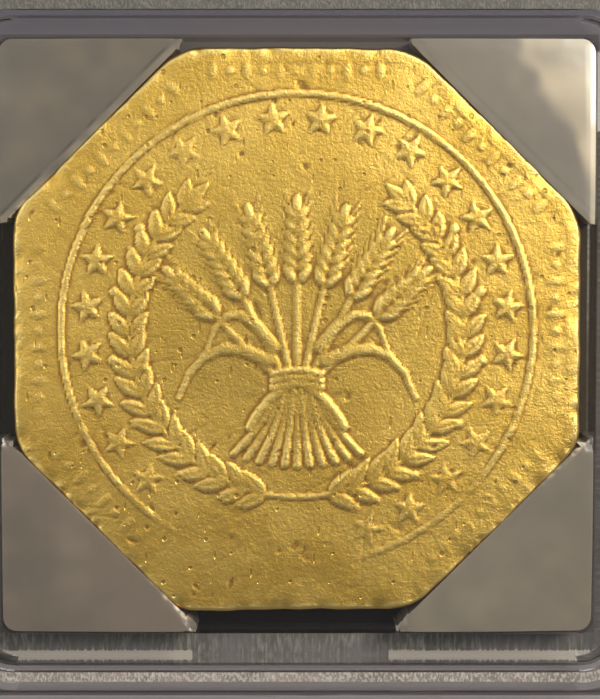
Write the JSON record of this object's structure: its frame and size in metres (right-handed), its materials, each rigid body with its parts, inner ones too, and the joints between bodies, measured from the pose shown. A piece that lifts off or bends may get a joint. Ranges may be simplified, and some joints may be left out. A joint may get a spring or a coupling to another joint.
{
  "type": "graded coin slab",
  "caption": "Clear welded plastic holder with a square well that shows a worn octagonal gold coin between grey corner pads, a bare label card above it and a stacking rim.",
  "frame": {"origin": "middle of the outline on the back face that the slab rests on", "axes": "+Z out of the face over the coin, +Y towards the label end, +X to the right as the coin is read"},
  "size_m": [0.06, 0.083, 0.0085],
  "materials": {
    "clear_shell": "clear polished, with frosted weld seams",
    "dark_seat": "satin",
    "gold": "worn gold",
    "card": "matt",
    "grey_pad": "translucent satin"
  },
  "bodies": {
    "root": {"front_shell": "clear_shell", "back_shell": "clear_shell", "coin_seat": "dark_seat", "coin": "gold", "label_card": "card", "pad_top_left": "grey_pad", "pad_top_right": "grey_pad", "pad_bottom_left": "grey_pad", "pad_bottom_right": "grey_pad"}
  },
  "joints": []
}
